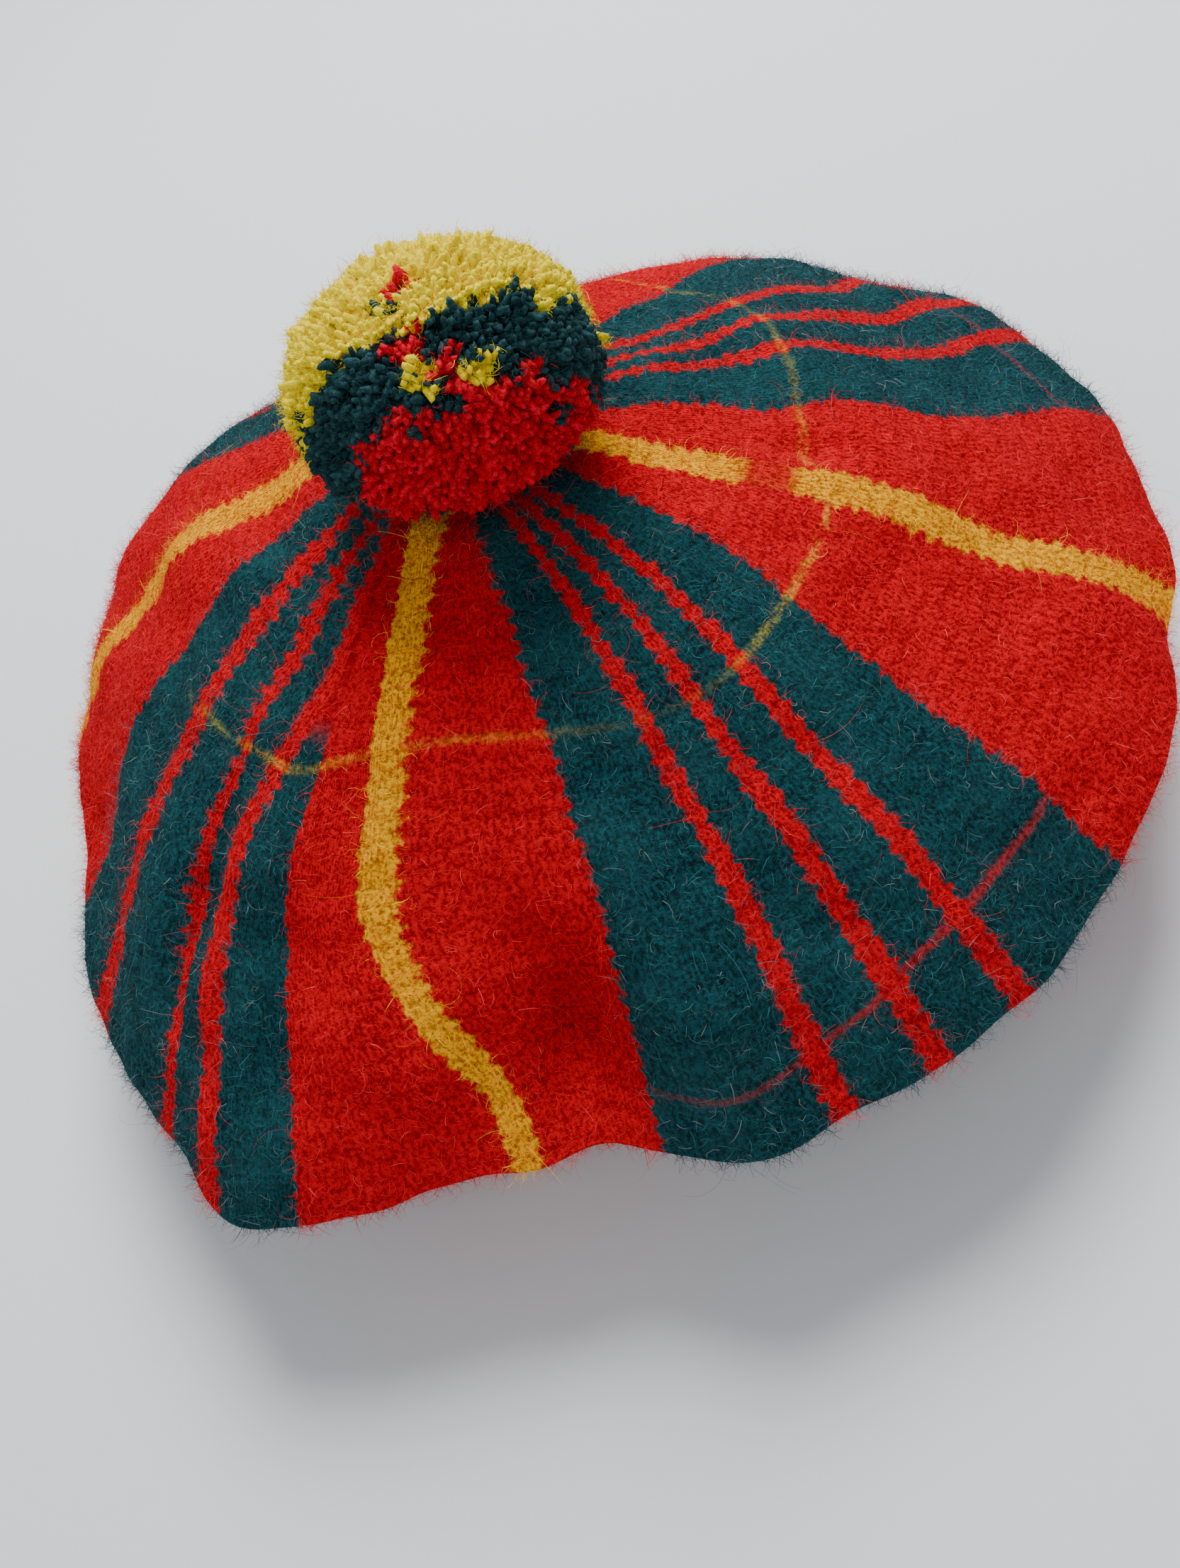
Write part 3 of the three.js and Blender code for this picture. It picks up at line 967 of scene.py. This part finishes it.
def pompom_point(azimuth, up, scale=1.0):
    """Outer form: r = R * out(up) * side(azimuth) and z = up * height. A scale under 1 draws it in
    towards the middle of the pompom."""
    ups = np.array([row["up"] for row in POMPOM_ROWS])
    outs = np.array([row["out"] for row in POMPOM_ROWS])
    smooth = np.sqrt(np.interp(up, ups, outs**2))
    r = POMPOM_R * smooth * around(POMPOM_SIDES, "share", azimuth) * scale
    z = POMPOM_HEIGHT * (POMPOM_MIDDLE + (up - POMPOM_MIDDLE) * scale)
    angle = np.radians(azimuth)
    return lean(np.stack([r * np.cos(angle), r * np.sin(angle), z + 0 * r], -1))


POMPOM_CENTRE = pompom_point(0.0, POMPOM_MIDDLE, 0.0)


def sphere_direction(azimuth, height):
    a, h = math.radians(azimuth), math.radians(height)
    return np.array([math.cos(a) * math.cos(h), math.sin(a) * math.cos(h), math.sin(h)])


def yarn_of(points, rng):
    """0 red, 1 green, 2 yellow, by the direction from the middle, scaled to a sphere."""
    p = (points - POMPOM_CENTRE) / np.array([POMPOM_R, POMPOM_R, POMPOM_HEIGHT / 2])
    p = unit(p)
    ragged = 0.06 * slow_waves(p, 0.7, 7, 21) + 0.06 * slow_waves(p, 0.28, 9, 22)
    depth = p @ LAYER_AXIS + ragged + rng.normal(0, 0.02, len(p))
    yarn = np.where(depth > 0.67, 0, np.where(depth > 0.17, 1, 2))
    for row in STRAY_ENDS:
        near = p @ sphere_direction(row["azimuth"], row["height"]) > math.cos(math.radians(row["radius"]))
        yarn = np.where(near, row["yarn"], yarn)
    return yarn


print("pompom centre in mm:", (POMPOM_CENTRE / MM).round(1))

# %% [markdown]
# ## Yarn ends
#
# Each cut end is two plies twisted round each other that flare and open at the cut. An end is a
# short pair of four-sided tubes, so thousands of them stay light. Their tips are spread evenly over
# the form with the golden angle, which is also how a seed head packs.

# %% Yarn finish
def yarn_finish():
    """The yarn's colour from the end's map, with painted shade towards its root and in the hollows of its
    grain.
    """
    finish = Finish("pompom yarn")
    yarn, along = finish.map_values("yarn")
    shade = finish.map_values("shade")[0]
    point = finish.object_point()
    is_green = finish.times(finish.step(yarn, 0.4, 0.6), finish.step(yarn, 1.6, 1.4))
    is_yellow = finish.step(yarn, 1.4, 1.6)
    colour = finish.mix(is_green, (0.66, 0.0, 0.012, 1), (0.004, 0.032, 0.038, 1))
    colour = finish.mix(is_yellow, colour, (0.88, 0.72, 0.0, 1))
    light = finish.mix(is_green, (0.9, 0.0, 0.03, 1), (0.03, 0.11, 0.12, 1))
    light = finish.mix(is_yellow, light, (0.92, 0.86, 0.0, 1))
    # Painted shade: these deep colours stand for the shade between the ends, strongest at an end's root and
    # in the low parts of the grain.
    painted_deep_shade = finish.mix(is_green, (0.20, 0.0, 0.004, 1), (0.0, 0.002, 0.003, 1))
    painted_deep_shade = finish.mix(is_yellow, painted_deep_shade, (0.74, 0.42, 0.0, 1))
    grain = finish.noise(point, 0.8 * MM, 3, 0.6)
    colour = finish.mix(finish.times(shade, 0.8), colour, light)
    colour = finish.mix(finish.step(along, 0.85, 0.1), colour, painted_deep_shade)
    colour = finish.mix(finish.times(finish.step(grain, 0.62, 0.4), 0.5), colour, painted_deep_shade)
    finish.set(Base_Color=colour, Roughness=0.9, Specular_IOR_Level=0.15)
    finish.set(Normal=finish.bump(grain, 0.8 * MM, 0.7))
    return finish.material


pompom_yarn = yarn_finish()
YARN_ENDS = 1950
GOLDEN_ANGLE = 137.50776
LOW_END_EXTRA = 6.0
END_LENGTH = 8.0 * MM
PLY_SIDES = 4
PLY_STEPS = 6


# %% Yarn ends
def end_places(rng):
    """Tip points, directions and yarns of the ends, spread by the golden angle. The lowest ends are
    6 mm longer, so the pompom sits on the crown and doesn't hang over it."""
    i = np.arange(YARN_ENDS)
    up = 0.02 + 0.98 * (i + 0.5) / YARN_ENDS
    azimuth = np.mod(i * GOLDEN_ANGLE, 360)
    surface = pompom_point(azimuth, up)
    out = unit(surface - POMPOM_CENTRE)
    yarn = yarn_of(surface, rng)
    clumps = 0.5 * slow_waves(surface, 13 * MM, 8, 25) + 0.8 * slow_waves(surface, 4.5 * MM, 12, 26)
    proud = rng.normal(-1.8, 0.4, YARN_ENDS) + clumps
    proud = proud + LOW_END_EXTRA * smooth_step(-out[:, 2], 0.5, 0.8)
    return surface + out * (proud * MM)[:, None], out, yarn


def strand_points(tips, out, rng):
    """Two plies an end. A ply winds round the end's own line: offset * (cos, sin)(twist + ply * pi),
    and offset and thickness both swell towards the cut."""
    count = len(tips)
    first, second = two_across(out, rng)
    s = np.linspace(0, 1, PLY_STEPS)
    bend = rng.normal(0, 0.9, (count, 2)) * MM
    line = tips[:, None] - out[:, None] * (END_LENGTH * (1 - s))[None, :, None]
    line = line + (bend[:, :1] * s**2)[..., None] * first[:, None]
    line = line + (bend[:, 1:] * s**2)[..., None] * second[:, None]
    phase = rng.uniform(0, 2 * math.pi, (count, 1, 1)) + np.array([0, math.pi])[None, :, None]
    twist = phase + 4.2 * s[None, None]
    offset = (0.5 + 0.45 * s**3) * MM
    middle = line[:, None] + (offset * np.cos(twist))[..., None] * first[:, None, None]
    middle = middle + (offset * np.sin(twist))[..., None] * second[:, None, None]
    girth = np.array([0.5, 0.65, 0.8, 0.95, 0.95, 0.6]) * MM
    around_ply = np.arange(PLY_SIDES) * 2 * math.pi / PLY_SIDES
    swell = girth[None, None, :, None] * rng.uniform(0.7, 1.3, (count, 2, PLY_STEPS, PLY_SIDES))
    ring = middle[:, :, :, None] + (swell * np.cos(around_ply))[..., None] * first[:, None, None, None]
    return ring + (swell * np.sin(around_ply))[..., None] * second[:, None, None, None]


def yarn_piece(name, tips, out, yarn, rng):
    points = strand_points(tips, out, rng)
    count = len(tips) * 2
    last = (PLY_STEPS - 1) * PLY_SIDES
    cap = np.array([[last, last + 1, last + 2, last + 3], [3, 2, 1, 0]])
    one = np.concatenate([ring_grid(PLY_STEPS, PLY_SIDES)[0][:, FLIPPED], cap])
    faces = one[None] + (np.arange(count) * PLY_STEPS * PLY_SIDES)[:, None, None]
    piece = mesh_object(name, points.reshape(-1, 3), faces.reshape(-1, 4))
    along = (one // PLY_SIDES / (PLY_STEPS - 1)).ravel()
    yarns = np.repeat(yarn, 2 * one.size)
    write_map(piece, "yarn", np.stack([yarns, np.tile(along, count)], -1))
    shade = rng.uniform(0, 1, (len(tips), 2))
    write_map(piece, "shade", np.repeat(shade, 2 * one.size, axis=0))
    return finish_piece(piece, pompom_yarn)


rng = np.random.default_rng(31)
tips, outs, yarns = end_places(rng)
yarn_piece("yarn_ends", tips, outs, yarns, rng)
print("ends of red, green, yellow:", [int((yarns == k).sum()) for k in range(3)])

# %% [markdown]
# ## The pompom's heart and its fluff
#
# Behind the ends is the imported middle, a closed form a little smaller than the outside, whose lower
# end narrows to a point in the crown. It is coloured mostly with the yarns' painted deep shade, which
# stands for the shade between the ends. In front of them is the fluff, short hairs that stand off the
# cut ends and hide their hard tips.

# %% Pompom heart
HEART_SCALE = 0.86
FOOT_DEPTH = 1 * MM


def pompom_heart():
    sides, rings = 96, 40
    azimuth = np.arange(sides) * 360.0 / sides
    up = 0.5 - 0.5 * np.cos(np.linspace(0.06, math.pi - 0.03, rings))
    grid = pompom_point(azimuth[None], up[:, None], HEART_SCALE)
    yarn = yarn_of(grid.reshape(-1, 3), np.random.default_rng(41)).reshape(rings, sides)
    yarn = np.concatenate([yarn, yarn[:, :1]], 1)
    # The heart's place along an end is 0.3, near the root, so it takes mostly the yarns' painted deep shade,
    # standing for the shade deep between the ends.
    maps = {"yarn": np.stack([yarn, 0.3 + 0 * yarn], -1), "shade": np.zeros(yarn.shape + (2,))}
    foot = [POMPOM_FOOT[0], POMPOM_FOOT[1], CROWN_TOP - FOOT_DEPTH]
    poles = [foot, pompom_point(0.0, 1.0, HEART_SCALE)]
    piece = closed_piece("pompom_heart", grid, poles, maps, flip=True)
    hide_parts("pompom")
    return finish_piece(piece, pompom_yarn)


def pompom_fluff(count, seed):
    """Hairs rooted near the ends' tips, each a little off its own end's direction."""
    rng = np.random.default_rng(seed)
    chance = np.where(yarns == 2, 1.6, 1.0)
    chosen = rng.choice(len(tips), count, p=chance / chance.sum())
    normals = unit(outs[chosen] + 0.35 * rng.normal(size=(count, 3)))
    roots = tips[chosen] + rng.normal(0, 0.75, (count, 3)) * MM - outs[chosen] * 0.9 * MM
    rise = (0.4 + 2.0 * rng.uniform(0, 1, count) ** 2) * MM
    length, curl = rng.uniform(0.8, 2.6, count) * MM, rng.normal(0, 2.4, count)
    paths = fibre_paths(roots, normals, length, rise, curl, 3, rng)
    points, faces, corners = ribbon_arrays(paths, normals, rng.uniform(0.09, 0.14, count) * MM, rng)
    piece = mesh_object("pompom_fluff", points, faces)
    yarn = yarns[chosen]
    write_map(piece, "yarn", np.repeat(np.stack([yarn, 0 * yarn + 1.0], -1), corners, axis=0))
    write_map(piece, "shade", np.repeat(rng.uniform(0.3, 1, (count, 2)), corners, axis=0))
    return finish_piece(piece, pompom_yarn)


pompom_heart()
pompom_fluff(31000, 51)

# %% [markdown]
# ## Stage, light and camera
#
# A plain pale floor, one large soft light behind and above the hat, a fill from the front, and a
# low, even light from all round. The camera looks down at the hat from near by, turned a little
# about its own line of sight.

# %% Stage
def plain_finish(name, colour, roughness):
    finish = Finish(name)
    grain = finish.noise(finish.object_point(), 0.004, 3)
    shade = finish.mix(grain, tuple(0.97 * c for c in colour[:3]) + (1,), colour)
    finish.set(Base_Color=shade, Roughness=roughness)
    return finish.material


def floor_piece():
    """A flat grid, 3 m square, at the height the hat rests on."""
    x, y = np.meshgrid(np.linspace(-1.5, 1.5, 3), np.linspace(-1.5, 1.5, 3))
    points = np.stack([x.ravel(), y.ravel(), np.full(x.size, CAD_LOW.z)], -1)
    quads = [[r * 3 + c, r * 3 + c + 1, r * 3 + c + 4, r * 3 + c + 3] for r in range(2) for c in range(2)]
    mesh = bpy.data.meshes.new("floor")
    mesh.from_pydata(points.tolist(), [], quads)
    mesh.materials.append(plain_finish("pale floor", (0.74, 0.75, 0.77, 1), 0.9))
    piece = bpy.data.objects.new("floor", mesh)
    bpy.context.scene.collection.objects.link(piece)


def aim(thing, place, target, roll=0.0):
    """Puts a light or camera at a place, looking at a target, and rolls it about that line."""
    turn = (Vector(target) - Vector(place)).to_track_quat("-Z", "Y").to_matrix().to_4x4()
    thing.matrix_world = Matrix.Translation(place) @ turn @ Matrix.Rotation(math.radians(roll), 4, "Z")


def soft_light(name, place, size, power, colour=(1, 1, 1)):
    data = bpy.data.lights.new(name, "AREA")
    data.shape = "DISK"
    data.size = size
    data.energy = power
    data.color = colour
    light = bpy.data.objects.new(name, data)
    bpy.context.scene.collection.objects.link(light)
    aim(light, place, (0, 0, 0.06))


floor_piece()
soft_light("key_light", (0.20, 0.60, 1.0), 0.7, 23)
soft_light("fill_light", (-0.4, -0.9, 0.9), 1.2, 6, (0.98, 0.99, 1.0))
world = bpy.data.worlds.new("soft room")
world.use_nodes = True
world.node_tree.nodes["Background"].inputs[0].default_value = (0.9, 0.95, 1.0, 1)
world.node_tree.nodes["Background"].inputs[1].default_value = 0.42
bpy.context.scene.world = world

# %% Camera
CAMERA_PLACE = Vector((0.009, -0.2459, 0.2846))
CAMERA_HEADING = -1.9
CAMERA_PITCH = 50.6
CAMERA_ROLL = 21.7
CAMERA_LENS = 32.55


def make_camera():
    heading, pitch = math.radians(CAMERA_HEADING), math.radians(CAMERA_PITCH)
    level = math.cos(pitch)
    ahead = Vector((math.sin(heading) * level, math.cos(heading) * level, -math.sin(pitch)))
    data = bpy.data.cameras.new("camera")
    data.lens = CAMERA_LENS
    data.sensor_width = 36
    data.clip_start = 0.01
    camera = bpy.data.objects.new("camera", data)
    bpy.context.scene.collection.objects.link(camera)
    aim(camera, CAMERA_PLACE, CAMERA_PLACE + ahead, -CAMERA_ROLL)
    bpy.context.scene.camera = camera


make_camera()
print("camera at", [round(x, 3) for x in CAMERA_PLACE])
